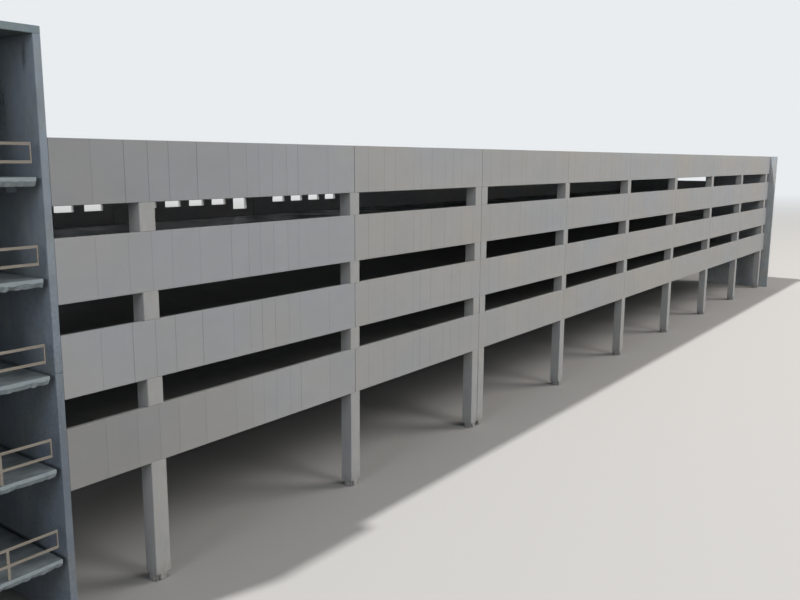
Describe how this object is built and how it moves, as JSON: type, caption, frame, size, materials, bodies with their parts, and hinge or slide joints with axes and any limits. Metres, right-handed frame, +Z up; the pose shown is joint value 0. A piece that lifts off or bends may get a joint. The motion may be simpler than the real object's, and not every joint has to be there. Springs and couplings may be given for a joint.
{
  "type": "multi storey car park, 1:10 scale model",
  "caption": "Long open-sided precast concrete car park with spandrel bands, notched columns, double-tee decks, a punched rear wall and an open stair tower, at one tenth scale.",
  "frame": {"origin": "on the ground, under the middle of the outline", "axes": "+Z up, -Y out of the long front, +X along the front away from the stair tower"},
  "size_m": [9.839, 1.899, 1.896],
  "materials": {
    "spandrel_concrete": "smooth precast concrete, warm grey, with fine vertical reveals",
    "column_concrete": "smooth precast concrete, light grey",
    "wall_concrete": "form-finished precast concrete, blue grey",
    "rear_wall_concrete": "form-finished precast concrete, mid grey",
    "deck_concrete": "broom-finished precast concrete, dusty",
    "sawn_timber": "rough sawn softwood",
    "joint_sealant": "polyurethane sealant, dull brown grey",
    "galvanised_steel": "hot-dip galvanised, dulled by cement dust"
  },
  "bodies": {
    "root": {"deck_level_2": "deck_concrete", "deck_level_3": "deck_concrete", "deck_level_4": "deck_concrete", "deck_level_5": "deck_concrete", "expansion_joint_columns": "column_concrete", "front_columns": "column_concrete", "front_spandrels_level_2": "spandrel_concrete", "front_spandrels_level_3": "spandrel_concrete", "front_spandrels_level_4": "spandrel_concrete", "front_spandrels_level_5": "spandrel_concrete", "left_end_spandrels": "spandrel_concrete", "left_end_wall_rear": "wall_concrete", "rear_parapet": "rear_wall_concrete", "rear_wall_level_1": "rear_wall_concrete", "rear_wall_level_2": "rear_wall_concrete", "rear_wall_level_3": "rear_wall_concrete", "rear_wall_level_4": "rear_wall_concrete", "right_end_spandrels": "spandrel_concrete", "right_end_wall_front": "wall_concrete", "right_end_wall_rear": "wall_concrete", "stair_tower_back_wall": "wall_concrete", "stair_tower_guard_rails": "sawn_timber", "stair_tower_landings": "wall_concrete", "stair_tower_left_wall": "wall_concrete", "stair_tower_right_wall": "wall_concrete", "stair_tower_roof": "wall_concrete"}
  },
  "joints": []
}
